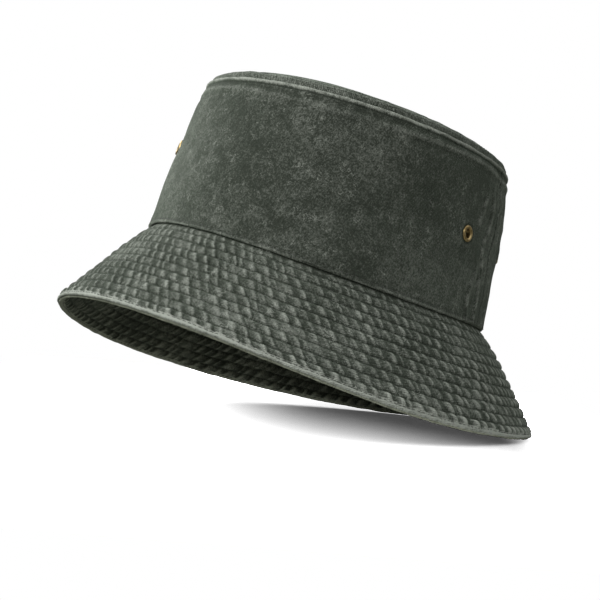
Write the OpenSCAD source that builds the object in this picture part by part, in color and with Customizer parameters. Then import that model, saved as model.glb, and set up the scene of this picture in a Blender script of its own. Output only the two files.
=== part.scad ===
// Bucket hat of washed cotton twill with a row-quilted brim and brass eyelets.
// The hat stands upright on its brim: +Z is up, -Y is the front and +X is the
// wearer's left. The origin is under the middle of the hat, on the plane that
// it stands on. Every cloth piece is a section swept round the oval of the head.
// A section point is [r, z, k]: r outwards from the brim seam's oval, z up from
// that seam, and k an optional factor that shrinks the oval about its middle.

/* [Crown] */
// Width of the crown at the brim seam, side to side
head_w = 178.3; // [160:0.1:200]
// Length of the crown at the brim seam, front to back
head_l = 203.3; // [180:0.1:230]
// Height of the side wall from the brim seam to the top seam
crown_h = 80.8; // [60:0.1:110]
// How far the side wall leans in between the brim seam and the top seam
crown_lean = 9.3; // [0:0.1:20]
// Rise of the top panel's middle above the top seam
top_rise = 7; // [2:0.5:15]

/* [Brim] */
// Width of the brim along its slope
brim_w = 60; // [40:0.5:75]
// Angle between the brim and the vertical
brim_angle = 34; // [20:1:55]
// Half the height of the soft wave in the brim's edge
rim_wave = 5.9; // [0:0.1:8]
// Half the height of the soft wave in the brim seam
seam_wave = 2.9; // [0:0.1:5]
// Angle by which the edge's wave lags behind the seam's
wave_lag = 12; // [0:1:20]

/* [Quilting] */
// Rows of stitching round the brim
quilt_rows = 10; // [4:1:10]
// Distance between two rows
row_gap = 5.5; // [3:0.1:5.5]
// Distance from the last row to the brim's edge
edge_band = 6.2; // [4:0.1:10]
// Distance of the edge stitching from the brim's edge
edge_stitch = 1.8; // [1:0.1:3]
// Width of a sewing thread
thread_w = 0.6; // [0.3:0.1:1]
// How far a sewing thread stands out of the cloth
thread_h = 0.25; // [0.1:0.05:0.5]

/* [Cloth] */
// Thickness of the crown's twill
cloth_t = 0.8; // [0.5:0.1:1.2]
// Thickness of one quilted ply of the brim
ply_t = 0.9; // [0.6:0.1:1.2]
// Thickness of the interlining between the brim's plies
lining_t = 1.2; // [0.6:0.1:2]
// Width of the cloth turned in at a seam
seam_turn = 8; // [5:0.5:10]
// Height of the sweatband
sweatband_h = 30; // [20:1:38]
// Thickness of the folded sweatband
sweatband_t = 1; // [0.6:0.1:1.5]
// Width of the tapes that cover the inside seams
tape_w = 12; // [8:1:16]
// Thickness of the tapes
tape_t = 0.5; // [0.3:0.1:0.8]

/* [Eyelets] */
// Bore of an eyelet
eyelet_bore = 4.5; // [3:0.1:6]
// Outer diameter of an eyelet's rolled flange
eyelet_d = 8.5; // [7:0.1:12]
// Height of the wearer's left eyelets above the brim seam
eyelet_h_left = 41.1; // [36:0.1:60]
// Height of the wearer's right eyelets above the brim seam
eyelet_h_right = 47.4; // [36:0.1:60]
// Angle round the crown from the side seam to an eyelet
eyelet_turn = 18.5; // [10:0.5:30]

/* [Hidden] */
$fn = 48;

twill = "#474e47";
inner_cloth = "#3d433d";
felt = "#c9c6bc";
brass = "#8a7442";
thread = "#565d54";

// The sweep's step round the oval divides 180, so that half sweeps meet at the side seams.
step = 5;
left = 0;
right = 180;
turn = 360;

// Lean of the side wall and the directions of the wall's and the brim's outer faces
wall_lean = atan(crown_lean / crown_h);
wall_l = norm([crown_lean, crown_h]);
wall_out = [cos(wall_lean), sin(wall_lean)];
wall_up = [-sin(wall_lean), cos(wall_lean)];
brim_out = [cos(brim_angle), sin(brim_angle)];
brim_down = [sin(brim_angle), -cos(brim_angle)];

// Depths below the outer face at which the layers meet
hem_d = 2 * cloth_t;
allowance_1 = hem_d + ply_t;
allowance_2 = allowance_1 + ply_t;
mid_d = ply_t + lining_t;
brim_t = mid_d + ply_t;

// Where the brim leaves the crown, under the crown's turned-up hem
brim_start = -hem_d * wall_out;
// Where a crown panel's end is divided from its middle, and the gap left there, in degrees
panel_end = 35;
hair = 0.02;

// The hem inside the brim's edge, and the small round of every folded edge
rim_turn = 5;
fold = 0.5;

// Height of the brim seam above the plane that the lowest part of the brim stands on
seam_z = (brim_w - fold) * cos(brim_angle) + brim_t * sin(brim_angle) + hem_d * sin(wall_lean) + rim_wave;

// The top panel's dome, as factors of the oval from the seam to the middle
dome_steps = [0.99, 0.97, 0.943, 0.9, 0.84, 0.76, 0.66, 0.5, 0.32, 0.12];
stitched_dome = 0.943;

// Depth of the two plies at the top seam, and the depth at which the tapes lie inside the wall
seam_d = 2 * cloth_t;
tape_d = cloth_t + 0.05;

// Eyelet section: flange roll, barrel and the lip that is curled over the washer
barrel_t = 0.35;
flange_gap = 0.05;
washer_t = 0.5;
washer_d = 8;
lip_t = 0.4;
barrel_end = cloth_t + 0.1 + washer_t + lip_t;

// Points of a section: v up the wall or u down the brim, d below the outer face
function on_wall(v, d) = v * wall_up - d * wall_out;
function on_brim(u, d) = brim_start + u * brim_down - d * brim_out;
// Where a line at wall_depth inside the wall meets one at brim_depth under the brim
function corner(wall_depth, brim_depth) =
    let (
        a = -wall_depth,
        b = brim_start * brim_out - brim_depth,
        det = wall_out[0] * brim_out[1] - wall_out[1] * brim_out[0]
    )
    [(a * brim_out[1] - b * wall_out[1]) / det, (b * wall_out[0] - a * brim_out[0]) / det];
// Height of the dome above the top seam where the oval is shrunk by k
function dome(k) = top_rise * (1 - pow(k, 6));
function dome_point(k, lift) = on_wall(wall_l, 0) + [0, lift + dome(k)];
// Soft wave of the seam and of the brim's edge, fading out up the wall
function wave(t, z) =
    let (
        up = min(max(z / crown_h, 0), 1),
        down = min(max(-z / (brim_w * cos(brim_angle)), 0), 1)
    )
    seam_wave * (1 - up) * (1 - down) * sin(2 * t) + rim_wave * down * sin(2 * (t - wave_lag));
// Outward direction of the oval in plan, and the place of a section point at angle t
function plan_out(t) =
    let (v = [head_l * cos(t), head_w * sin(t)])
    v / norm(v);
function at(t, p) =
    let (
        k = len(p) > 2 ? p[2] : 1,
        plan = [head_w / 2 * cos(t), head_l / 2 * sin(t)] + p[0] * plan_out(t)
    )
    [k * plan[0], k * plan[1], seam_z + p[1] + wave(t, p[1])];

// One quad of a sweep as two triangles, split from its higher edge so that layers share it
function quad(profile, i, j, rows) =
    let (
        m = len(profile),
        n = (j + 1) % m,
        here = i * m,
        there = (i + 1) % rows * m,
        a = here + j,
        b = here + n,
        c = there + n,
        d = there + j
    )
    profile[j][1] > profile[n][1] ? [[a, b, c], [a, c, d]] : [[a, b, d], [b, c, d]];

// Sweeps a section, listed anticlockwise with r to the right, from angle a0 to angle a1
module sweep(profile, a0, a1, da = step) {
    m = len(profile);
    count = round((a1 - a0) / da);
    whole = a1 - a0 == turn;
    rows = whole ? count : count + 1;
    points = [for (i = [0:rows - 1]) for (p = profile) at(a0 + i * da, p)];
    sides = [for (i = [0:count - 1]) for (j = [0:m - 1]) each quad(profile, i, j, rows)];
    ends = whole ? [] : [[for (j = [0:m - 1]) m - 1 - j], [for (j = [0:m - 1]) count * m + j]];
    polyhedron(points, concat(sides, ends));
}

// Sweeps a section all the way round and closes its first and last rings with flat faces
module dome_sweep(profile) {
    m = len(profile);
    rows = turn / step;
    points = [for (i = [0:rows - 1]) for (p = profile) at(i * step, p)];
    sides = [for (i = [0:rows - 1]) for (j = [0:m - 2]) each quad(profile, i, j, rows)];
    under = [for (i = [0:rows - 1]) i * m];
    over = [for (i = [0:rows - 1]) (rows - 1 - i) * m + m - 1];
    polyhedron(points, concat(sides, [under, over]));
}

// A ring of thread lying on the brim, u down its slope and at depth d
module brim_thread(u, d, side) {
    proud = d - side * thread_h;
    flat_edge = [on_brim(u + thread_w / 2, d), on_brim(u - thread_w / 2, d)];
    ring = [flat_edge[0], on_brim(u, proud), flat_edge[1]];
    sweep(side > 0 ? ring : [ring[2], ring[1], ring[0]], 0, turn);
}

// Puts its children on the crown's outer face with their +Z pointing outwards
module on_crown(t) {
    out = plan_out(t);
    height = cos(t) > 0 ? eyelet_h_left : eyelet_h_right;
    translate(at(t, on_wall(height, 0)))
        rotate([0, 90 - wall_lean, atan2(out[1], out[0])])
            children();
}

module crown_top_panel() {
    edge = on_wall(wall_l, 0);
    inner = on_wall(wall_l, seam_d);
    n = len(dome_steps) - 1;
    under = [for (i = [n:-1:1]) concat(dome_point(dome_steps[i], fold - cloth_t), dome_steps[i])];
    over = [for (k = dome_steps) concat(dome_point(k, fold), k)];
    color(twill) dome_sweep(concat(under, [inner, edge, edge + [0, fold]], over));
}

// Half of the side wall, with its lower edge turned up inside and two eyelet holes. It is
// divided into a middle and two ends, a hair apart, so that each eyelet has a flat piece.
module crown_panel(a0) {
    profile = [
        on_wall(fold, 0), on_wall(crown_h / 2, 0), on_wall(wall_l, 0),
        on_wall(wall_l, cloth_t), on_wall(crown_h / 2, cloth_t), on_wall(seam_turn, cloth_t),
        on_wall(seam_turn, hem_d), on_wall(0, hem_d), on_wall(0, fold)
    ];
    starts = [0, panel_end + hair, 180 - panel_end];
    ends = [panel_end, 180 - panel_end - hair, 180];
    color(twill) difference() {
        for (i = [0:2]) {
            width = ends[i] - starts[i];
            sweep(profile, a0 + starts[i], a0 + ends[i], width / round(width / step));
        }
        for (t = [eyelet_turn, 180 - eyelet_turn])
            on_crown(a0 + t) cylinder(d = eyelet_bore + 2 * barrel_t + 0.1, h = 20, center = true);
    }
}

module crown_front_panel() {
    crown_panel(right);
}

module crown_back_panel() {
    crown_panel(left);
}

module brim_upper(a0) {
    profile = [
        on_brim(brim_w / 2, ply_t), on_brim(brim_w - rim_turn, ply_t),
        on_brim(brim_w - rim_turn, brim_t / 2), on_brim(brim_w - fold, brim_t / 2),
        on_brim(brim_w, brim_t / 4), on_brim(brim_w - fold, 0), on_brim(brim_w / 2, 0),
        corner(hem_d, 0), on_wall(seam_turn, hem_d), on_wall(seam_turn, allowance_1),
        corner(allowance_1, ply_t)
    ];
    color(twill) sweep(profile, a0, a0 + 180);
}

module brim_upper_front() {
    brim_upper(right);
}

module brim_upper_back() {
    brim_upper(left);
}

module brim_interlining(a0) {
    profile = [
        corner(allowance_1, mid_d), on_brim(brim_w / 2, mid_d), on_brim(brim_w - rim_turn, mid_d),
        on_brim(brim_w - rim_turn, ply_t), on_brim(brim_w / 2, ply_t), corner(allowance_1, ply_t)
    ];
    color(felt) sweep(profile, a0, a0 + 180);
}

module brim_interlining_front() {
    brim_interlining(right);
}

module brim_interlining_back() {
    brim_interlining(left);
}

module brim_lower(a0) {
    profile = [
        corner(allowance_2, brim_t), on_brim(brim_w / 2, brim_t), on_brim(brim_w - fold, brim_t),
        on_brim(brim_w, brim_t * 3 / 4), on_brim(brim_w - fold, brim_t / 2),
        on_brim(brim_w - rim_turn, brim_t / 2), on_brim(brim_w - rim_turn, mid_d),
        on_brim(brim_w / 2, mid_d), corner(allowance_1, mid_d),
        on_wall(seam_turn, allowance_1), on_wall(seam_turn, allowance_2)
    ];
    color(inner_cloth) sweep(profile, a0, a0 + 180);
}

module brim_lower_front() {
    brim_lower(right);
}

module brim_lower_back() {
    brim_lower(left);
}

// The band stands on the brim's seam allowance and leans towards the wall higher up
module sweatband() {
    low_d = allowance_2 + 0.05;
    high_d = low_d - 1;
    profile = [
        on_wall(0.2, low_d + sweatband_t), on_wall(0.2, low_d), on_wall(seam_turn + 1, low_d),
        on_wall(sweatband_h, high_d), on_wall(sweatband_h, high_d + sweatband_t),
        on_wall(seam_turn + 1, low_d + sweatband_t)
    ];
    color(inner_cloth) sweep(profile, 0, turn);
}

module top_seam_tape() {
    profile = [
        on_wall(wall_l - tape_w, tape_d + tape_t), on_wall(wall_l - tape_w, tape_d),
        on_wall(wall_l - 1, tape_d), on_wall(wall_l - 1, tape_d + tape_t)
    ];
    color(inner_cloth) sweep(profile, 0, turn);
}

// A strip up the inside of the wall, over the side seam at angle t
module side_seam_tape(t) {
    half = asin(tape_w / head_l);
    profile = [
        on_wall(seam_turn + 1, tape_d + tape_t), on_wall(seam_turn + 1, tape_d),
        on_wall(wall_l - tape_w - 0.5, tape_d), on_wall(wall_l - tape_w - 0.5, tape_d + tape_t)
    ];
    color(inner_cloth) sweep(profile, t - half, t + half, half / 2);
}

module side_seam_tape_left() {
    side_seam_tape(left);
}

module side_seam_tape_right() {
    side_seam_tape(right);
}

// Rolled flange outside, straight barrel, and a lip curled over the washer inside
module eyelet(t) {
    bore_r = eyelet_bore / 2;
    barrel_r = bore_r + barrel_t;
    roll_r = (eyelet_d / 2 - bore_r) / 2;
    roll = [for (a = [0:15:180]) [bore_r + roll_r + roll_r * cos(a), flange_gap + roll_r * sin(a)]];
    barrel = [
        [bore_r, -barrel_end], [barrel_r + 0.4, -barrel_end], [barrel_r + 0.6, lip_t - barrel_end],
        [barrel_r, lip_t - barrel_end], [barrel_r, flange_gap]
    ];
    color(brass) on_crown(t) rotate_extrude() polygon(concat(roll, barrel));
}

module eyelet_left_front() {
    eyelet(left - eyelet_turn);
}

module eyelet_left_back() {
    eyelet(left + eyelet_turn);
}

module eyelet_right_front() {
    eyelet(right + eyelet_turn);
}

module eyelet_right_back() {
    eyelet(right - eyelet_turn);
}

// Flat ring on the wall's inner face, held by the eyelet's curled lip
module washer(t) {
    color(brass) on_crown(t) translate([0, 0, lip_t - barrel_end])
        difference() {
            cylinder(d = washer_d, h = washer_t);
            translate([0, 0, -1]) cylinder(d = eyelet_bore + 2 * barrel_t + 0.04, h = washer_t + 2);
        }
}

module washer_left_front() {
    washer(left - eyelet_turn);
}

module washer_left_back() {
    washer(left + eyelet_turn);
}

module washer_right_front() {
    washer(right + eyelet_turn);
}

module washer_right_back() {
    washer(right - eyelet_turn);
}

module top_panel_stitching() {
    edge = on_wall(wall_l, 0);
    half = thread_w / head_w;
    low = edge[1] + fold + dome(stitched_dome);
    profile = [
        [edge[0], low, stitched_dome - half], [edge[0], low, stitched_dome + half],
        [edge[0], low + thread_h, stitched_dome]
    ];
    color(thread) sweep(profile, 0, turn);
}

module crown_edge_stitching() {
    profile = [
        on_wall(2 - thread_w / 2, 0), on_wall(2, -thread_h), on_wall(2 + thread_w / 2, 0)
    ];
    color(thread) sweep(profile, 0, turn);
}

// The seam along the brim's edge shows as one row above and one row below
module brim_edge_stitching() {
    color(thread) {
        brim_thread(brim_w - edge_stitch, 0, 1);
        brim_thread(brim_w - edge_stitch, brim_t, -1);
    }
}

module quilting_upper_thread() {
    color(thread)
        for (i = [0:quilt_rows - 1])
            brim_thread(brim_w - edge_band - i * row_gap, 0, 1);
}

module quilting_lower_thread() {
    color(thread)
        for (i = [0:quilt_rows - 1])
            brim_thread(brim_w - edge_band - i * row_gap, brim_t, -1);
}

crown_top_panel();
crown_front_panel();
crown_back_panel();
brim_upper_front();
brim_upper_back();
brim_interlining_front();
brim_interlining_back();
brim_lower_front();
brim_lower_back();
sweatband();
top_seam_tape();
side_seam_tape_left();
side_seam_tape_right();
eyelet_left_front();
eyelet_left_back();
eyelet_right_front();
eyelet_right_back();
washer_left_front();
washer_left_back();
washer_right_front();
washer_right_back();
top_panel_stitching();
crown_edge_stitching();
brim_edge_stitching();
quilting_upper_thread();
quilting_lower_thread();
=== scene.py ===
"""Washed cotton bucket hat with a row-quilted brim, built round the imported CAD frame.

Lengths are in millimetres until a mesh is made. Angle t goes round the hat in degrees, from the wearer's
left (+X) at 0 through the back (+Y) at 90. A section point is (r, z): r outwards from the brim seam's oval,
z up from that seam. v runs up the wall, u runs down the brim, and d is the depth under the outer face.
"""
import math

import bmesh
import bpy
import numpy as np
from mathutils import Matrix, Vector


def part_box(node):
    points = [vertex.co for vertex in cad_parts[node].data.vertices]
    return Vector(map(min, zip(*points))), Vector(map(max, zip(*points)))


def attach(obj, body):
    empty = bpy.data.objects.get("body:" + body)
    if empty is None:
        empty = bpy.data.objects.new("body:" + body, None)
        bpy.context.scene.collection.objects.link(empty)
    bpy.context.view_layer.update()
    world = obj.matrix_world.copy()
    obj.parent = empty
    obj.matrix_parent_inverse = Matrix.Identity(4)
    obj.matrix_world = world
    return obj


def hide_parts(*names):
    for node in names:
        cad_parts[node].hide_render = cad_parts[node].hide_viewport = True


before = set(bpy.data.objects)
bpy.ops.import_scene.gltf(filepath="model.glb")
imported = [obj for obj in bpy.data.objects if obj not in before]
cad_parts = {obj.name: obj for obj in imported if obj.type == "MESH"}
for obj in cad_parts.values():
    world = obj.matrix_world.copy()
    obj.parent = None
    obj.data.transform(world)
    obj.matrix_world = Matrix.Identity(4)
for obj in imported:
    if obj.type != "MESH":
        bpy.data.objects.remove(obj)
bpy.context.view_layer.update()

MM = 0.001
ROOT = "root"

# ---------------------------------------------------------------- sizes, as in the CAD model
CROWN_LEAN = 9.3
TOP_RISE = 7.0
BRIM_W = 60.0
BRIM_ANGLE = math.radians(34)
RIM_WAVE, SEAM_WAVE, WAVE_LAG = 5.9, 2.9, 12.0
QUILT_ROWS, ROW_GAP, EDGE_BAND, EDGE_STITCH = 10, 5.5, 6.2, 1.8
CLOTH_T, PLY_T, LINING_T = 0.8, 0.9, 1.2
SEAM_TURN, RIM_TURN = 8.0, 5.0
SWEATBAND_H, SWEATBAND_T = 30.0, 1.0
TAPE_W, TAPE_T = 12.0, 0.5
CROWN_STITCH = 2.0
EYELET_BORE, EYELET_D, EYELET_TURN = 4.5, 8.5, 18.5
EYELET_H_LEFT, EYELET_H_RIGHT = 41.1, 47.4
EYELETS = {
    "left_front": (-EYELET_TURN, EYELET_H_LEFT),
    "left_back": (EYELET_TURN, EYELET_H_LEFT),
    "right_front": (180 + EYELET_TURN, EYELET_H_RIGHT),
    "right_back": (180 - EYELET_TURN, EYELET_H_RIGHT),
}
# the cloth round the right front eyelet bulges, and turns the eyelet a little more forward
FACE_TURN, FACE_OUT = math.radians(12), 1.15
FOLD = 0.5
HEM_D = 2 * CLOTH_T
BRIM_T = 2 * PLY_T + LINING_T


def box_mm(node):
    low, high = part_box(node)
    return np.array(low) / MM, np.array(high) / MM


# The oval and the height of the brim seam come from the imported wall's box.
FRONT_LOW, FRONT_HIGH = box_mm("crown_front_panel")
HALF_X, HALF_Y = FRONT_HIGH[0] + 0.06, -FRONT_LOW[1] + 0.06
CROWN_H = 80.8
SEAM_Z = FRONT_HIGH[2] - CROWN_H

WALL_LEAN = math.atan(CROWN_LEAN / CROWN_H)
WALL_L = math.hypot(CROWN_LEAN, CROWN_H)
WALL_OUT = np.array([math.cos(WALL_LEAN), math.sin(WALL_LEAN)])
WALL_UP = np.array([-math.sin(WALL_LEAN), math.cos(WALL_LEAN)])
BRIM_OUT = np.array([math.cos(BRIM_ANGLE), math.sin(BRIM_ANGLE)])
BRIM_DOWN = np.array([math.sin(BRIM_ANGLE), -math.cos(BRIM_ANGLE)])
BRIM_START = -HEM_D * WALL_OUT
BRIM_DROP = BRIM_W * math.cos(BRIM_ANGLE)
# Mean radii of the brim seam, the wall at the eyelets, the sweatband, the seam tape and the top's seam
SEAM_R, WALL_R, BAND_R, TAPE_R, TOP_R = 95, 96, 92, 88, 86

# ---------------------------------------------------------------- the hat's surfaces


def plan_out(t):
    """The oval's outward direction in plan at t degrees."""
    a = np.radians(t)
    x, y = HALF_Y * np.cos(a), HALF_X * np.sin(a)
    n = np.hypot(x, y)
    return x / n, y / n


def wave(t, z):
    """The soft wave of the brim seam and of the brim's edge."""
    up, down = np.clip(z / CROWN_H, 0, 1), np.clip(-z / BRIM_DROP, 0, 1)
    seam = SEAM_WAVE * (1 - up) * (1 - down) * np.sin(np.radians(2 * t))
    return seam + RIM_WAVE * down * np.sin(np.radians(2 * (t - WAVE_LAG)))


def facing(t, middle, power):
    """1 at the middle angle, falling smoothly to 0 a quarter turn away."""
    return np.clip(np.cos(np.radians(t - middle)), 0, 1) ** power


def slump(t, z):
    """How the worn hat departs from its pattern: outwards and upwards, in mm."""
    up, down = np.clip(z / CROWN_H, 0, 1), np.clip(-z / BRIM_DROP, 0, 1)
    left, right = facing(t, 14, 4), facing(t, 203, 6)
    out = 7.2 * left * (1 - np.exp(-3.2 * down)) / (1 - math.exp(-3.2))
    out = out + 1.4 * left * bump(up - 0.7, 0.3) * (z > 0)
    out = out + right * (1.7 * bump(up - 0.8, 0.2) - 2.0 * bump(up - 0.04, 0.24)) * (z > 0)
    out = out - 2.0 * right * np.exp(-6 * down) * (z <= 0)
    lift = 5.3 * left * down ** 1.5 + (1.9 * facing(t, 145, 5) + 3.5 * facing(t, 52, 12)) * down
    return out, lift


def at(t, r, z, k=1.0):
    """Section points in space. t, r, z and k broadcast to one shape; k shrinks the oval about its middle."""
    t, r, z, k = np.broadcast_arrays(t, r, z, k)
    a = np.radians(t)
    nx, ny = plan_out(t)
    out, lift = slump(t, z)
    x = k * (HALF_X * np.cos(a) + (r + out) * nx)
    y = k * (HALF_Y * np.sin(a) + (r + out) * ny)
    return np.stack([x, y, SEAM_Z + z + wave(t, z) + lift], -1)


def wall_point(t, v, d, k=1.0):
    v, d = np.asarray(v, float), np.asarray(d, float)
    return at(t, v * WALL_UP[0] - d * WALL_OUT[0], v * WALL_UP[1] - d * WALL_OUT[1], k)


def brim_point(t, u, d):
    u, d = np.asarray(u, float), np.asarray(d, float)
    r = BRIM_START[0] + u * BRIM_DOWN[0] - d * BRIM_OUT[0]
    z = BRIM_START[1] + u * BRIM_DOWN[1] - d * BRIM_OUT[1]
    return at(t, r, z)


def corner(wall_depth, brim_depth):
    """Where a line inside the wall meets one under the brim, as (r, z)."""
    lines = np.array([WALL_OUT, BRIM_OUT])
    return np.linalg.solve(lines, [-wall_depth, BRIM_START @ BRIM_OUT - brim_depth])


def dome(k):
    """Rise of the puffed top over its seam: steep just inside the seam, then nearly flat."""
    edge = 2.6
    return edge * (1 - np.exp((k - 1) * TOP_R / edge)) + (TOP_RISE - 0.4) * (1 - k ** 6)


def bump(x, width):
    return np.exp(-(x / width) ** 2)


# ---------------------------------------------------------------- seeded unevenness


def smooth(x):
    return x * x * (3 - 2 * x)


def noise(t, v, around, cell, seed):
    """Smooth seeded noise from -1 to 1, with so many cells round the hat and cells of `cell` mm along v."""
    t, v = np.broadcast_arrays(np.asarray(t, float), np.asarray(v, float))
    y = v / cell + 500
    rows = np.random.default_rng(seed).uniform(-1, 1, (around, 1009))
    x = (t / 360 * around) % around
    i, j = np.floor(x).astype(int) % around, np.floor(y).astype(int) % 1009
    fx, fy = smooth(x - np.floor(x)), smooth(y - np.floor(y))
    i2, j2 = (i + 1) % around, (j + 1) % 1009
    low = rows[i, j] * (1 - fx) + rows[i2, j] * fx
    high = rows[i, j2] * (1 - fx) + rows[i2, j2] * fx
    return low * (1 - fy) + high * fy


def ridges(t, shift, places, heights):
    """Puckers at seeded places round the hat: a slow rise to a sharp crest, then a quick fall into a fold.

    Returns their height, and a tone that is paler on the worn crest and darker in the fold behind it, painted
    shade.
    """
    x = (t - shift) % 360
    n = len(places)
    j = np.searchsorted(places, x) - 1
    low = np.where(j < 0, places[-1] - 360, places[j])
    high = np.where(j + 1 >= n, places[0] + 360, places[(j + 1) % n])
    f = np.clip((x - low) / (high - low), 0, 1)
    crest = 0.7
    shape = np.where(f < crest, (f / crest) ** 1.5, 1 - ((f - crest) / (1 - crest)) ** 1.2)
    worn_and_shaded = bump(f - 0.64, 0.17) - 0.8 * bump(f - 0.9, 0.13) - 0.25 * bump(f - 0.12, 0.2)
    return shape * heights[j % n], worn_and_shaded * heights[j % n]


# The lines where the brim is pinched, as distances from its edge
PINCHES = np.array([EDGE_STITCH] + [EDGE_BAND + i * ROW_GAP for i in range(QUILT_ROWS)] + [BRIM_W + 0.6])
PUCKERS = 112
SKEW = math.tan(math.radians(32))
# Length of one stitch on the brim, at the wall's lower edge, and round the top and the sweatband
BRIM_PITCH, WALL_PITCH, TOP_PITCH = 2.9, 2.7, 2.8
# For the upper ply and the lower: the noise's seed, the rows' puff and the puckers' height
QUILT = {True: (100, 0.3, 0.85), False: (300, 0.35, 0.6)}


def row_wander(t, seed):
    """How far the quilted rows stray from their even places: a long swing, and a short one."""
    return 0.35 * noise(t, 0, 70, 10, seed + 1), 0.15 * noise(t, 0, 240, 10, seed + 2)


def pucker_places(seed):
    """Places and heights of the puckers of each band, which mostly follow those of the band before."""
    rng = np.random.default_rng(seed)
    pitch = 360 / PUCKERS
    base = (np.arange(PUCKERS) + rng.uniform(-0.2, 0.2, PUCKERS)) * pitch
    drift = rng.normal(0, 0.1, PUCKERS) * pitch
    bands = []
    for band in range(len(PINCHES) - 1):
        drift = 0.5 * drift + rng.normal(0, 0.14, PUCKERS) * pitch
        places = np.sort((base + drift + 0.37 * band * pitch) % 360)
        heights = np.clip(rng.normal(0.85, 0.24, PUCKERS), 0.3, 1.3)
        bands.append((places, heights))
    return bands


def brim_relief(t, u, upper):
    """Height of the quilted brim over its plain face, and its tone: wear, with painted shade in its grooves
    and folds.

    The tone goes from about -1, painted shade in a groove, to 1 on a worn crest.
    """
    seed, puff, pucker = QUILT[upper]
    t, u = np.broadcast_arrays(t, u)
    swing, quiver = row_wander(t, seed)
    s = BRIM_W - u + swing + quiver
    band = np.clip(np.searchsorted(PINCHES, s) - 1, 0, len(PINCHES) - 2)
    low, high = PINCHES[band], PINCHES[band + 1]
    f = np.clip((s - low) / (high - low), 0, 1)
    middle = np.sin(np.pi * f)
    crest, worn_and_shaded = np.zeros(t.shape), np.zeros(t.shape)
    for i, (places, heights) in enumerate(pucker_places(seed)):
        here = band == i
        gap = PINCHES[i + 1] - PINCHES[i]
        radius = SEAM_R + (BRIM_W - PINCHES[i]) * math.sin(BRIM_ANGLE)
        bend = 0.4 * noise(t[here], u[here], 60, 3, seed + 20 + i)
        shift = np.degrees(((0.5 - f[here]) * gap * SKEW + bend) / radius)
        crest[here], worn_and_shaded[here] = ridges(t[here], shift, places, heights)
    edge_band = (band == 0) * (s > EDGE_STITCH)
    grow = 0.8 + 0.4 * noise(t, u, 16, 14, seed + 3) + 0.35 * edge_band
    soft = 1 - 0.35 * np.abs(noise(t, u, 200, 3, seed + 7))
    h = puff * middle ** 0.55 * (0.85 + 0.15 * noise(t, u, 60, 9, seed + 4))
    h = h + pucker * grow * crest * middle ** 0.6
    h = h + 0.12 * noise(t, u, 330, 2.2, seed + 5) + 0.05 * noise(t, u, 640, 1.2, seed + 6)
    near = np.minimum(np.abs(s - low), np.abs(high - s))
    stitch = np.abs(np.sin(np.radians(t) * SEAM_R / BRIM_PITCH * math.pi))
    h = h - (0.34 + 0.12 * stitch) * bump(near, 0.45)
    edge = np.clip(1 - s / EDGE_STITCH, 0, 1)
    h = np.where(s < EDGE_STITCH, 0.16 * np.sin(np.pi * np.clip(s / EDGE_STITCH, 0, 1)) ** 0.5, h)
    # the puckers' worn crests and painted fold shade, with their contrast raised round t = 20
    contrast = (1.25 + 0.5 * edge_band + 0.9 * facing(t, 20, 3)) * (0.45 + 0.65 * grow)
    wear_and_shade = (contrast * worn_and_shaded * soft + 0.3 * noise(t, u, 260, 3.5, seed + 8)) * middle ** 0.4
    # painted shade: the tone is darkened along the pinched rows
    wear_and_shade = wear_and_shade + 0.18 + 0.25 * noise(t, u, 40, 14, seed + 12) - 0.9 * bump(near, 0.42) + 0.3 * edge_band
    # the rolled edge: worn pale and partly a painted highlight, with painted shade at the edge stitching
    fold = 3.2 + 0.8 * edge + 1.3 * noise(t, u, 420, 1.4, seed + 13) - 0.9 * bump(s - EDGE_STITCH, 0.3)
    wear_and_shade = np.where(s < EDGE_STITCH + 0.6, fold, wear_and_shade)
    return h, wear_and_shade


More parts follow.
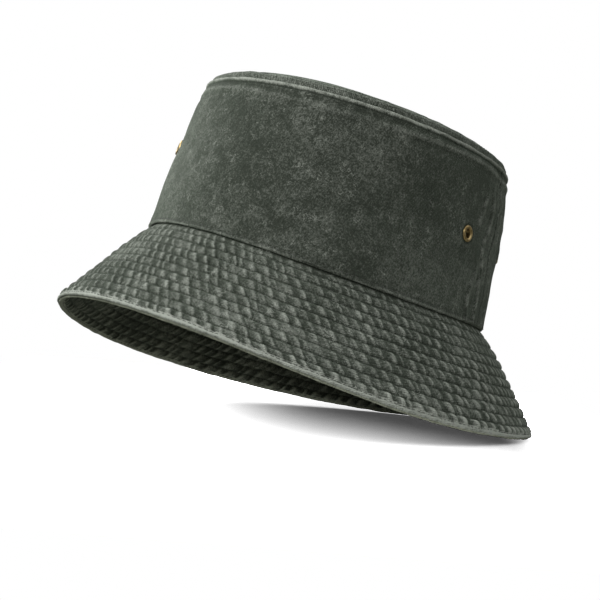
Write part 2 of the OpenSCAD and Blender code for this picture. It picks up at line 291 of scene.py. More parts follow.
def wall_relief(t, v):
    """Height of the crown's wall over its plain face, and its tone: wear, with painted shade in seams,
    grooves and hollows.
    """
    t, v = np.broadcast_arrays(t, v)
    left = ((t + 180) % 360) - 180
    right = (t % 360) - 180
    h = 0.9 * noise(t, v, 11, 34, 51) + 0.5 * noise(t, v, 26, 19, 52) + 0.16 * noise(t, v, 90, 7, 53)
    wear_and_shade = 0.15 * noise(t, v, 26, 19, 54) + 0.12 * noise(t, v, 90, 7, 50)
    for side in (left, right):
        away = np.radians(side) * HALF_Y + 0.5 * noise(0 * t, v, 4, 9, 48)
        seam = bump(away, 0.5)
        puckers = noise(side * 0.3, v, 60, 3.2, 55)
        h = h - 0.5 * seam + 0.4 * bump(np.abs(away) - 3.2, 2.2) * (0.75 + 0.6 * puckers)
        # painted shade in the side seam's groove, and worn pale ridges beside it
        wear_and_shade = wear_and_shade + 0.4 * bump(np.abs(away) - 3.0, 1.6) * (0.5 + 0.6 * puckers) - 0.35 * seam
        # creases that run unevenly down either side of the side seam
        for place, seed in ((8.5, 57), (18.0, 67), (-10.0, 77), (-28.0, 87), (-38.0, 97)):
            path = place + 4.2 * noise(0 * t, v, 4, 13, seed) + 1.2 * noise(0 * t, v, 4, 5, seed + 1)
            fade = np.clip(0.5 + 0.75 * noise(0 * t, v, 4, 19, seed + 2), 0, 1)
            h = h + 0.7 * fade * bump(away + path, 1.7) - 0.3 * fade * bump(away + path + 2.8, 1.6)
            wear_and_shade = wear_and_shade + 1.0 * fade * bump(away + path, 2.0) * (0.7 + 0.9 * noise(t, v, 300, 3, seed + 3))
    for middle_t, height in EYELETS.values():
        off = (t - middle_t + 180) % 360 - 180
        rho = np.hypot(np.radians(off) * WALL_R, v - height)
        seat = bump(rho, 6.0)
        h = h * (1 - seat) + 0.45 * bump(rho - 6.2, 1.6) - 0.1 * bump(rho, 4.5)
        # a worn pale ring round the eyelet's seat, and painted shade just outside its flange
        wear_and_shade = wear_and_shade * (1 - 0.6 * seat) + 0.25 * bump(rho - 6.0, 1.2) - 0.35 * bump(rho - 4.5, 0.6)
    # the bulge that carries the right front eyelet, and the hollow in front of it
    ahead = np.radians((t - EYELET_TURN) % 360 - 180) * WALL_R
    rho = np.hypot(ahead, v - EYELET_H_RIGHT)
    h = h * (1 - bump(rho, 15)) + FACE_OUT * np.maximum(bump(rho, 9), rho < 4.6)
    h = h - math.tan(FACE_TURN) * ahead * bump(rho, 7.5)
    h = h - 0.4 * bump(ahead - 11, 6) * bump(v - EYELET_H_RIGHT, 11)
    # a fold that stands in front of the left back eyelet
    h = h + 1.25 * bump(np.radians(left - 14.0) * WALL_R, 2.6) * bump(v - EYELET_H_LEFT, 15)
    # a worn fold that rises from the brim on the right side
    fold = bump(np.radians((t - 211.0) % 360 - 0.06 * (v - 30)) * WALL_R, 2.6) * bump(v - 24, 24)
    h = h + 0.7 * fold
    wear_and_shade = wear_and_shade + 1.5 * fold * (0.8 + 0.5 * noise(t, v, 300, 3, 64))
    # the ridge of the top seam's allowance, and the worn edge over it, with painted shade in the groove above
    # the ridge and in the one under the edge
    below = WALL_L - v
    strength = 0.6 + 0.4 * noise(t, v * 0, 16, 10, 58) + 0.5 * facing(t, 212, 10) + 0.5 * facing(t, 345, 12)
    drop = 6.4 + 1.0 * noise(t, v * 0, 18, 10, 59) - 1.6 * facing(t, 350, 8)
    tucks = noise(t, v, 150, 9, 49) * bump(below - 5, 6)
    h = h + 0.4 * strength * bump(below - drop, 1.6) - 0.55 * strength * bump(below - drop + 2.9, 1.2)
    h = h - 0.3 * strength * bump(below - drop - 3.2, 1.8) - 0.4 * bump(below - 1.7, 0.5) + 0.16 * tucks
    wear_and_shade = wear_and_shade + 0.9 * strength * bump(below - drop, 1.1) - 0.4 * strength * bump(below - drop + 2.6, 1.0)
    wear_and_shade = wear_and_shade + 3.2 * bump(below - 0.6, 0.65) * (0.8 + 0.35 * noise(t, v * 0, 150, 10, 60))
    wear_and_shade = wear_and_shade - 0.9 * bump(below - 1.8, 0.5) + 0.2 * tucks
    # the row of stitching above the lower edge, with painted shade in its groove, and the worn lower edge
    stitch = 0.5 + 0.5 * np.cos(np.radians(t) * WALL_R / WALL_PITCH * 2 * math.pi)
    h = h - (0.22 + 0.1 * stitch) * bump(v - CROWN_STITCH, 0.45)
    h = h + 0.16 * noise(t, v * 0, 150, 10, 61) * bump(v - 3.5, 3.0)
    wear_and_shade = wear_and_shade + 0.85 * bump(v - 0.3, 0.9) * (0.8 + 0.4 * noise(t, v * 0, 190, 10, 62))
    wear_and_shade = wear_and_shade - 0.3 * bump(v - CROWN_STITCH, 0.5)
    return h, wear_and_shade


# ---------------------------------------------------------------- meshes


def make_object(name, verts_mm, faces, nodes, attributes=None):
    """A smooth-shaded object from points in millimetres and arrays of quads or lists of polygons."""
    mesh = bpy.data.meshes.new(name)
    quads = [np.asarray(f, np.int32) for f in faces]
    loops = np.concatenate([q.ravel() for q in quads])
    sizes = np.concatenate([np.full(len(q), q.shape[1]) for q in quads]).astype(np.int32)
    mesh.vertices.add(len(verts_mm))
    mesh.vertices.foreach_set("co", (np.asarray(verts_mm) * MM).astype(np.float32).ravel())
    mesh.loops.add(len(loops))
    mesh.loops.foreach_set("vertex_index", loops.astype(np.int32))
    mesh.polygons.add(len(sizes))
    mesh.polygons.foreach_set("loop_start", np.concatenate([[0], np.cumsum(sizes)[:-1]]).astype(np.int32))
    mesh.polygons.foreach_set("use_smooth", np.ones(len(sizes), bool))
    for key, values in (attributes or {}).items():
        values = np.asarray(values, np.float32)
        flat = values.ndim == 1
        layer = mesh.attributes.new(key, "FLOAT" if flat else "FLOAT_VECTOR", "POINT")
        layer.data.foreach_set("value" if flat else "vector", values.ravel())
    mesh.update(calc_edges=True)
    mesh.validate()
    obj = bpy.data.objects.new(name, mesh)
    bpy.context.scene.collection.objects.link(obj)
    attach(obj, ROOT)
    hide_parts(*nodes)
    return obj


def loop_faces(rows, m, whole):
    """Quads of a closed section of m points swept over `rows` places, with end caps where it is open."""
    i = np.arange(rows if whole else rows - 1)[:, None]
    j = np.arange(m)[None, :]
    here, there = i * m, (i + 1) % rows * m
    n = (j + 1) % m
    quads = np.stack([here + j, there + j, there + n, here + n], -1).reshape(-1, 4)
    faces = [quads]
    if not whole:
        faces.append(np.arange(m)[None, :])
        faces.append(((rows - 1) * m + np.arange(m)[::-1])[None, :])
    return faces


def swept(name, points, whole, nodes, wear_and_shade=None, cloth=None):
    """points is rows x section x 3. The section runs anticlockwise with r to the right."""
    rows, m = points.shape[:2]
    attributes = {
        "wear_and_shade": np.zeros(rows * m) if wear_and_shade is None else wear_and_shade.ravel(),
        "cloth": (points if cloth is None else cloth).reshape(-1, 3) * MM,
    }
    return make_object(name, points.reshape(-1, 3), loop_faces(rows, m, whole), nodes, attributes)


def steps(a, b, pitch):
    return np.linspace(a, b, max(2, int(round(abs(b - a) / pitch)) + 1))


def arc(u, d, radius, a, b, count=9):
    """Points of a fold, as (u, d), from angle a to b in degrees; 0 points along u and 90 outwards."""
    angle = np.radians(np.linspace(a, b, count))
    return np.stack([u + radius * np.cos(angle), d - radius * np.sin(angle)], -1)


def halves():
    """The names of the hat's halves, and the angles where they start."""
    return (("front", 180.0), ("back", 0.0))


def cone_cloth(t, u, middle):
    """Where a point of the brim lies on its flat pattern, so that the twill runs straight across it."""
    rho = SEAM_R / math.sin(BRIM_ANGLE) + u
    phi = np.radians(t - middle) * math.sin(BRIM_ANGLE)
    return np.stack(np.broadcast_arrays(rho * np.sin(phi), rho * np.cos(phi), 0 * rho * phi), -1)


# ---------------------------------------------------------------- brim

BRIM_COLUMNS = 640
ROLL = 0.75


def brim_ply(name, start, upper):
    """One quilted ply, from its allowance inside the crown to the hem turned in at the edge."""
    t = np.linspace(start, start + 180, BRIM_COLUMNS)[:, None]
    seed = QUILT[upper][0]
    out = 1 if upper else -1
    face_d = 0.0 if upper else BRIM_T
    back_d = PLY_T if upper else PLY_T + LINING_T
    fold_d = face_d + out * ROLL
    face_u = steps(1.5 if upper else 3.0, BRIM_W - ROLL, 0.58 if upper else 0.7)
    h, wear_and_shade = brim_relief(t, face_u[None, :], upper)
    h = h * smooth(np.clip((face_u - 0.5) / 4, 0, 1)) - 0.05
    face = brim_point(t, face_u[None, :], face_d - out * h)
    edge = arc(BRIM_W - ROLL, fold_d, ROLL, 67.5 * out, -67.5 * out, 7)
    wobble = 0.16 * noise(t, 0, 120, 10, seed + 9) + 0.1 * noise(t, 0, 420, 10, seed + 10)
    rim = brim_point(t, edge[None, :, 0] + wobble, edge[None, :, 1] + 0 * t)
    hem_u = BRIM_W - RIM_TURN
    inner_u = np.array([BRIM_W - ROLL, hem_u, hem_u - 0.2, BRIM_W * 0.7, BRIM_W * 0.4, 4.0])
    inner_d = np.where(inner_u > hem_u - 0.1, face_d + out * 2 * ROLL, back_d)
    inner = brim_point(t, inner_u[None, :], inner_d[None, :])
    # the allowance's depths in the wall, on the side of the ply's inner face and of its outer face
    wall_d = np.array([HEM_D + PLY_T, HEM_D] if upper else [HEM_D + PLY_T, HEM_D + 2 * PLY_T])
    knee_inner, knee_outer = (at(t, *corner(depth, d)[:, None, None])
                              for depth, d in zip(wall_d, (back_d, face_d)))
    tuck = wall_point(t, np.array([SEAM_TURN, SEAM_TURN])[None, :], wall_d[None, :])
    # face from the crown down to the edge, round it, and back inside up to the allowance
    points = np.concatenate([knee_outer, face, rim, inner, knee_inner, tuck], 1)
    # the rolled rim's tone: worn pale, and partly a painted highlight
    rim_wear_and_highlight = np.broadcast_to(2.4 + 0.9 * noise(t, 0, 330, 10, seed + 11), rim.shape[:2])
    hidden = points.shape[1] - 1 - wear_and_shade.shape[1] - rim_wear_and_highlight.shape[1]
    # painted shade at the joint under the crown's edge (-0.6); the hidden and inner faces get a fixed darker
    # tone (-0.3)
    worn_and_shaded = np.concatenate([np.full((len(t), 1), -0.6), wear_and_shade, rim_wear_and_highlight, np.full((len(t), hidden), -0.3)], 1)
    grid_u = np.concatenate([[0], face_u, edge[:, 0], inner_u, [0], [-SEAM_TURN] * 2])
    cloth = cone_cloth(t, grid_u[None, :], start + 90)
    if upper:
        points, worn_and_shaded, cloth = points[:, ::-1], worn_and_shaded[:, ::-1], cloth[:, ::-1]
    nodes = [f"brim_{'upper' if upper else 'lower'}_{'front' if start else 'back'}"]
    return swept(name, points, False, nodes, worn_and_shaded, cloth)


def brim_interlining(name, start):
    t = np.linspace(start, start + 180, 121)[:, None]
    u = steps(4, BRIM_W - RIM_TURN - 0.4, 3)
    low = brim_point(t, u[None, :], PLY_T + LINING_T - 0.05 + 0 * t)
    high = brim_point(t, u[None, ::-1], PLY_T + 0.05 + 0 * t)
    return swept(name, np.concatenate([low, high], 1), False, [name])


def make_brim():
    made = {}
    for half, start in halves():
        made[f"brim_upper_{half}"] = brim_ply(f"brim_upper_{half}", start, True)
        made[f"brim_lower_{half}"] = brim_ply(f"brim_lower_{half}", start, False)
        made[f"brim_interlining_{half}"] = brim_interlining(f"brim_interlining_{half}", start)
    return made


# ---------------------------------------------------------------- crown

HOLE_R = EYELET_BORE / 2 + 0.45


def on_crown(t):
    """The frame of an eyelet: its middle on the crown's face, and its outward, side and upward directions."""
    height = EYELET_H_LEFT if math.cos(math.radians(t)) > 0 else EYELET_H_RIGHT
    turn, bulge = (FACE_TURN, FACE_OUT) if math.isclose(t, 180 + EYELET_TURN) else (0.0, 0.0)
    middle = wall_point(np.array(t), height, -bulge)
    nx, ny = plan_out(np.array(t))
    out = np.array([nx * WALL_OUT[0], ny * WALL_OUT[0], WALL_OUT[1]])
    side = np.array([-ny, nx, 0.0])
    up = np.cross(out, side)
    c, s = math.cos(turn), math.sin(turn)
    return middle, out * c + side * s, side * c - out * s, up


def pierce(panel, t):
    """Opens a round hole through both faces of a panel: the mesh is pushed back and the rims are joined."""
    middle, out, side, up = (Vector(v) for v in on_crown(t))
    mesh = bmesh.new()
    mesh.from_mesh(panel.data)
    inside = set()
    for vertex in mesh.verts:
        offset = vertex.co / MM - middle
        x, y = offset.dot(side), offset.dot(up)
        rho = math.hypot(x, y)
        if rho < HOLE_R and abs(offset.dot(out)) < 6:
            inside.add(vertex)
            grow = HOLE_R / max(rho, 0.01) - 1
            vertex.co += (side * x + up * y) * grow * MM
    gone = [face for face in mesh.faces if all(v in inside for v in face.verts)]
    bmesh.ops.delete(mesh, geom=gone, context="FACES")
    rims = [edge for edge in mesh.edges if edge.is_boundary and all(v in inside for v in edge.verts)]
    bmesh.ops.bridge_loops(mesh, edges=rims)
    mesh.to_mesh(panel.data)
    mesh.free()


WALL_COLUMNS = 500


def crown_panel(half, start):
    """Half of the wall: folded up at the bottom, rolled into the top seam, and pierced at the eyelets."""
    t = np.linspace(start, start + 180, WALL_COLUMNS)[:, None]
    v = steps(HEM_D / 2, WALL_L - 0.5, 0.7)
    h, wear_and_shade = wall_relief(t, v[None, :])
    fade = smooth(np.clip((WALL_L - v) / 2, 0, 1))
    face = wall_point(t, v[None, :], -h * fade)
    roll = arc(WALL_L - 0.5, 1.0, 1.0, 75, 5, 6)
    top = wall_point(t, roll[None, :, 0] + 0.15 * noise(t, 0, 90, 10, 68),
                     roll[None, :, 1] + 0.12 * noise(t, 0, 160, 10, 63))
    inner_v = steps(WALL_L - 0.9, SEAM_TURN + 0.3, 1.9)
    inner_h = wall_relief(t, inner_v[None, :])[0]
    inner = wall_point(t, inner_v[None, :], CLOTH_T + np.clip(-inner_h, -1, 0.3))
    hem = wall_point(t, np.array([SEAM_TURN, HEM_D / 2])[None, :], HEM_D + 0 * t)
    bottom = arc(HEM_D / 2, HEM_D / 2, HEM_D / 2, 270, 90, 9)[1:-1]
    fold = wall_point(t, bottom[None, :, 0] + 0.12 * noise(t, 0, 170, 10, 64), bottom[None, :, 1] + 0 * t)
    points = np.concatenate([face, top, inner, hem, fold], 1)
    m = points.shape[1]
    top_wear = (2.0 + 0.7 * noise(t, 0, 150, 10, 65)) * np.array([1, 1, 0.9, 0.4, 0, -0.5])[None, :]
    fold_wear = np.broadcast_to(0.65 + 0.3 * noise(t, 0, 190, 10, 66), fold.shape[:2])
    worn_and_shaded = np.concatenate([wear_and_shade, top_wear, np.full((len(t), m - wear_and_shade.shape[1] - 6 - 7), -0.25), fold_wear], 1)
    grid_v = np.concatenate([v, roll[:, 0], inner_v, [SEAM_TURN, HEM_D / 2], bottom[:, 0]])
    around = np.radians(t) * SEAM_R
    cloth = np.stack(np.broadcast_arrays(around, grid_v[None, :], 0 * around), -1)
    name = f"crown_{half}_panel"
    panel = swept(name, points, False, [name], worn_and_shaded, cloth)
    for turn in (EYELET_TURN, 180 - EYELET_TURN):
        pierce(panel, start + turn)
    return panel


# Distance of the top's stitching in from its seam
TOP_STITCH = 4.7


def crown_top():
    """The oval top, puffed up inside its seam, with one row of stitching round it."""
    t = np.linspace(0, 360, 900, endpoint=False)[:, None]
    d_in = np.concatenate([steps(2.2, 12, 0.5), steps(12.8, 30, 1.0), steps(31.5, 84, 1.8)])
    k = 1 - d_in / TOP_R
    near = d_in[None, :] + 0 * t
    puckers = noise(t, near, 96, 6, 71)
    h = 0.35 * puckers * bump(near - 3.5, 2.6)
    h = h - (0.5 + 0.12 * noise(t, near * 0, 200, 10, 72)) * bump(near - TOP_STITCH, 0.55)
    h = h + 0.25 * bump(near - 3.0, 1.2) + 0.3 * puckers * bump(near - 8, 3)
    calm = np.clip(1.25 * k[None, :], 0, 1)
    swell = 1.1 * noise(t, near, 7, 33, 73) + 0.4 * noise(t, near, 17, 15, 74)
    h = h + swell * smooth(np.clip(near / 25, 0, 1)) * calm
    # worn pale seam ridges, and painted shade in the stitching's groove
    wear_and_shade = 0.6 * bump(near - 2.8, 1.0) * (0.8 + 0.6 * puckers) - 0.9 * bump(near - TOP_STITCH, 0.55)
    wear_and_shade = wear_and_shade + 0.4 * bump(near - 6.2, 1.0) * (0.9 + 0.5 * puckers)
    seam_r, seam_z = WALL_L * WALL_UP[0], WALL_L * WALL_UP[1]
    tuck = at(t, seam_r - 1.9, seam_z + np.array([[-1.6, -0.4]]))
    over = at(t, seam_r, seam_z + FOLD + dome(k)[None, :] + h, k[None, :])
    under_k = k[::-3]
    under = at(t, seam_r, seam_z + FOLD - CLOTH_T - 0.3 + dome(under_k)[None, :] - 0.6, under_k[None, :])
    edge = at(t, seam_r - 2.7 + 0 * t, seam_z - 1.4 + 0 * t)
    points = np.concatenate([edge, tuck, over], 1)
    rows, m = points.shape[:2]
    n_under = under.shape[1]
    everything = np.concatenate([points, under], 1)
    full = everything.shape[1]
    worn_and_shaded = np.concatenate([np.full((rows, 1), -0.5), np.full((rows, 2), 0.2), wear_and_shade,
                           np.full((rows, n_under), -0.2)], 1)
    verts = everything.reshape(-1, 3)
    # the quads between the last ring above and the first below would cross the middle: cap both instead
    quads = loop_faces(rows, full, True)[0].reshape(rows, full, 4)
    keep = np.ones(full, bool)
    keep[m - 1] = False
    faces = [quads[:, keep].reshape(-1, 4)]
    ring = np.arange(rows) * full
    centre_top = verts[ring + m - 1].mean(0)
    centre_low = verts[ring + m].mean(0)
    a, b = len(verts), len(verts) + 1
    verts = np.concatenate([verts, [centre_top, centre_low]])
    n = np.roll(np.arange(rows), -1)
    faces.append(np.stack([ring + m - 1, n * full + m - 1, np.full(rows, a)], -1))
    faces.append(np.stack([n * full + m, ring + m, np.full(rows, b)], -1))
    worn_and_shaded = np.concatenate([worn_and_shaded.ravel(), [0, 0]])
    attributes = {"wear_and_shade": worn_and_shaded, "cloth": verts * MM}
    return make_object("crown_top_panel", verts, faces, ["crown_top_panel"], attributes)


def sweatband():
    """A folded band that stands inside the head opening and leans on the wall higher up."""
    t = np.linspace(0, 360, 720, endpoint=False)[:, None]
    low_d = HEM_D + 2 * PLY_T + 0.1
    v = steps(0.9, SWEATBAND_H - 0.5, 1.0)
    d = low_d + SWEATBAND_T - 0.9 * smooth(np.clip((v - 9) / 21, 0, 1))
    sag = 0.35 * noise(t, v[None, :], 26, 16, 81) + 0.12 * noise(t, v[None, :], 90, 5, 82)
    dents = 0.2 + 0.1 * np.cos(np.radians(t) * BAND_R / TOP_PITCH * 2 * math.pi)
    inner = wall_point(t, v[None, :], d[None, :] + sag - bump(v[None, :] - 3.0, 0.5) * dents)
    high = arc(SWEATBAND_H - 0.5, d[-1] - 0.5, 0.5, -60, 60, 5)
    top = wall_point(t, high[None, :, 0] + 0 * t, high[None, :, 1] + sag[:, -1:])
    back = wall_point(t, v[None, ::-3], d[None, ::-3] - SWEATBAND_T + sag[:, ::-3])
    points = np.concatenate([inner, top, back], 1)[:, ::-1]
    cloth = np.stack(np.broadcast_arrays(np.radians(t) * BAND_R, points[..., 2], 0 * t), -1)
    wear_and_shade = -0.1 + 0 * points[..., 2]
    return swept("sweatband", points, True, ["sweatband"], wear_and_shade, cloth)


def tape_ring(name, low_v, high_v):
    t = np.linspace(0, 360, 480, endpoint=False)[:, None]
    v = steps(low_v, high_v, 0.8)
    depth = CLOTH_T + 0.9
    ridge = 0.35 * bump(v - (low_v + high_v) / 2, 3.5)[None, :] + 0.15 * noise(t, v[None, :], 70, 6, 91)
    inner = wall_point(t, v[None, :], depth + TAPE_T + ridge)
    outer = wall_point(t, v[None, ::-1], depth + ridge[:, ::-1])
    points = np.concatenate([inner, outer], 1)[:, ::-1]
    cloth = np.stack(np.broadcast_arrays(np.radians(t) * TAPE_R, points[..., 2], 0 * t), -1)
    return swept(name, points, True, [name], None, cloth)


def tape_strip(name, middle):
    half = math.degrees(math.asin(TAPE_W / 2 / HALF_Y))
    t = np.linspace(middle - half, middle + half, 17)[:, None]
    v = steps(SEAM_TURN + 1, WALL_L - TAPE_W - 0.5, 1.0)
    across = (t - middle) / half
    lift = 0.6 * (1 - across ** 4) + 0.12 * noise(t, v[None, :], 300, 6, 92)
    inner = wall_point(t, v[None, :], CLOTH_T + 0.5 + TAPE_T + lift)
    outer = wall_point(t, v[None, ::-1], CLOTH_T + 0.5 + lift[:, ::-1])
    points = np.concatenate([inner, outer], 1)[:, ::-1]
    return swept(name, points, False, [name])


def make_crown():
    made = {"crown_top_panel": crown_top()}
    for half, start in halves():
        made[f"crown_{half}_panel"] = crown_panel(half, start)
    made["sweatband"] = sweatband()
    made["top_seam_tape"] = tape_ring("top_seam_tape", WALL_L - TAPE_W, WALL_L - 1.8)
    made["side_seam_tape_left"] = tape_strip("side_seam_tape_left", 0)
    made["side_seam_tape_right"] = tape_strip("side_seam_tape_right", 180)
    return made


# ---------------------------------------------------------------- sewing thread

THREAD_R = 0.19
STITCH_SIDES, STITCH_RINGS = 6, 5
ROW_POINTS = 1400


def stitch_row(line, out, pitch):
    """Lock stitches along a closed line: short arched capsules whose ends dive into the cloth."""
    ahead = np.roll(line, -1, 0)
    lengths = np.linalg.norm(ahead - line, axis=1)
    along = np.concatenate([[0], np.cumsum(lengths)])
    count = int(round(along[-1] / pitch))
    start = np.arange(count) / count * along[-1]
    rings = np.linspace(0.06, 0.94, STITCH_RINGS)
    places = start[:, None] + rings[None, :] * along[-1] / count
    wrapped = np.concatenate([line, line[:1]])
    outward = np.concatenate([out, out[:1]])
    centre = np.stack([np.interp(places, along, wrapped[:, i]) for i in range(3)], -1)
    normal = np.stack([np.interp(places, along, outward[:, i]) for i in range(3)], -1)
    normal /= np.linalg.norm(normal, axis=-1, keepdims=True)
    tangent = centre[:, -1:] - centre[:, :1]
    tangent = tangent / np.linalg.norm(tangent, axis=-1, keepdims=True)
    side = np.cross(normal, tangent)
    arch = THREAD_R * np.array([-1.1, 0.25, 0.5, 0.25, -1.1])
    radius = THREAD_R * np.array([0.5, 0.95, 1.0, 0.95, 0.5])
    angle = np.linspace(0, 2 * math.pi, STITCH_SIDES, endpoint=False)
    circle = np.cos(angle)[:, None] * side[:, :, None] + np.sin(angle)[:, None] * normal[:, :, None]
    verts = centre[:, :, None] + arch[:, None, None] * normal[:, :, None] + radius[:, None, None] * circle
    return verts.reshape(-1, 3), count


def stitches(name, rows):
    """Joins rows of stitches into one piece. rows holds (line, outward, pitch)."""
    made = [stitch_row(*row) for row in rows]
    verts = np.concatenate([v for v, _ in made])
    count = sum(n for _, n in made)
    m = STITCH_SIDES
    i, j = np.arange(STITCH_RINGS - 1)[:, None], np.arange(m)[None, :]
    n = (j + 1) % m
    one = np.stack([i * m + j, i * m + n, (i + 1) * m + n, (i + 1) * m + j], -1).reshape(-1, 4)
    starts = np.arange(count)[:, None] * STITCH_RINGS * m
    quads = (one[None] + starts[:, None]).reshape(-1, 4)
    ends = starts + (STITCH_RINGS - 1) * m
    caps = np.concatenate([starts + np.arange(m)[::-1][None], ends + np.arange(m)[None]])
    return make_object(name, verts, [quads, caps], [name])


def around_brim(u, upper):
    t = np.linspace(0, 360, ROW_POINTS, endpoint=False)
    # the row wanders with the groove that it lies in
    u = u + sum(row_wander(t, QUILT[upper][0]))
    h = brim_relief(t[:, None], u[:, None], upper)[0][:, 0] - 0.05
    out = 1 if upper else -1
    face = 0.0 if upper else BRIM_T
    line = brim_point(t, u, face - out * (h + 0.02))
    lift = brim_point(t, u, face - out * (h + 1.02))
    return line, lift - line, BRIM_PITCH


def around_wall(v):
    t = np.linspace(0, 360, ROW_POINTS, endpoint=False)
    h = wall_relief(t[:, None], np.full((len(t), 1), v))[0]
    line = wall_point(t, v, -h[:, 0] - 0.02)
    return line, wall_point(t, v, -h[:, 0] - 1.02) - line, WALL_PITCH


def around_top(d_in):
    t = np.linspace(0, 360, ROW_POINTS, endpoint=False)
    k = 1 - d_in / TOP_R
    z = WALL_L * WALL_UP[1] + FOLD + dome(k) - 0.3
    line = at(t, WALL_L * WALL_UP[0], z, k)
    return line, at(t, WALL_L * WALL_UP[0] + 0.4, z + 1, k) - line, TOP_PITCH


def make_threads():
    rows = [BRIM_W - EDGE_BAND - i * ROW_GAP for i in range(QUILT_ROWS)]
    return [
        stitches("quilting_upper_thread", [around_brim(u, True) for u in rows]),
        stitches("quilting_lower_thread", [around_brim(u, False) for u in rows]),
        stitches("brim_edge_stitching", [around_brim(BRIM_W - EDGE_STITCH, side) for side in (True, False)]),
        stitches("crown_edge_stitching", [around_wall(CROWN_STITCH)]),
        stitches("top_panel_stitching", [around_top(TOP_STITCH)]),
    ]


# ---------------------------------------------------------------- eyelets


def lathe(name, t, profile, segments=72):
    """Turns a closed (radius, height) profile round an eyelet's axis."""
    middle, out, side, up = on_crown(t)
    angle = np.linspace(0, 2 * math.pi, segments, endpoint=False)[:, None]
    r, z = np.asarray(profile).T
    points = (middle + (r * np.cos(angle))[..., None] * side + (r * np.sin(angle))[..., None] * up
              + (z + 0 * angle)[..., None] * out)
    faces = loop_faces(segments, len(profile), True)
    return make_object(name, points.reshape(-1, 3), faces, [name])


def eyelet_profile():
    bore = EYELET_BORE / 2
    roll = (EYELET_D / 2 - bore) / 2
    angle = np.radians(np.linspace(0, 180, 19))
    rolled = np.stack([bore + roll + roll * np.cos(angle), 0.05 + roll * np.sin(angle)], -1)
    barrel = [(bore, -0.9), (bore, -1.75), (bore + 0.2, -1.92), (bore + 0.75, -1.86), (bore + 0.95, -1.6),
              (bore + 0.75, -1.45), (bore + 0.35, -1.42), (bore + 0.35, 0.02), (bore + 1.2, 0.02)]
    return np.concatenate([rolled, barrel])


def washer_profile():
    inner, outer = EYELET_BORE / 2 + 0.37, 4.0
    return [(inner, -1.38), (inner, -0.95), (inner + 0.1, -0.9), (outer - 0.15, -0.88), (outer, -1.0),
            (outer - 0.05, -1.25), (outer - 0.4, -1.4), (inner + 0.3, -1.42)][::-1]


def make_eyelets():
    made = []
    for place, (t, _) in EYELETS.items():
        made.append(lathe(f"eyelet_{place}", t, eyelet_profile()))
        made.append(lathe(f"washer_{place}", t, washer_profile()))
    return made


# ---------------------------------------------------------------- materials


class Shader:
    """A small helper that adds nodes to one material and links them by their inputs' names."""

    def __init__(self, name):
        self.material = bpy.data.materials.new(name)
        self.material.use_nodes = True
        self.tree = self.material.node_tree
        self.surface = self.tree.nodes["Principled BSDF"]

    def add(self, kind, inputs=None, **settings):
        node = self.tree.nodes.new(kind)
        for key, value in settings.items():
            setattr(node, key, value)
        for key, value in (inputs or {}).items():
            self.put(node.inputs[key], value)
        return node

    def put(self, socket, value):
        if isinstance(value, bpy.types.NodeSocket):
            self.tree.links.new(value, socket)
        else:
            socket.default_value = value

    def math(self, operation, a, b=0.0, c=0.0):
        return self.add("ShaderNodeMath", {0: a, 1: b, 2: c}, operation=operation).outputs[0]

    def noise(self, where, scale, detail=2.0, roughness=0.5, distortion=0.0):
        node = self.add("ShaderNodeTexNoise", {"Vector": where, "Scale": scale, "Detail": detail,
                                               "Roughness": roughness, "Distortion": distortion})
        return node.outputs[0]

    def attribute(self, name, output):
        return self.add("ShaderNodeAttribute", attribute_name=name).outputs[output]

    def ramp(self, factor, stops):
        node = self.add("ShaderNodeValToRGB", {"Fac": factor})
        elements = node.color_ramp.elements
        while len(elements) < len(stops):
            elements.new(0.5)
        for element, (position, color) in zip(elements, stops):
            element.position = position
            element.color = (*color, 1.0)
        return node.outputs[0]


RIB_PITCH = 0.00105


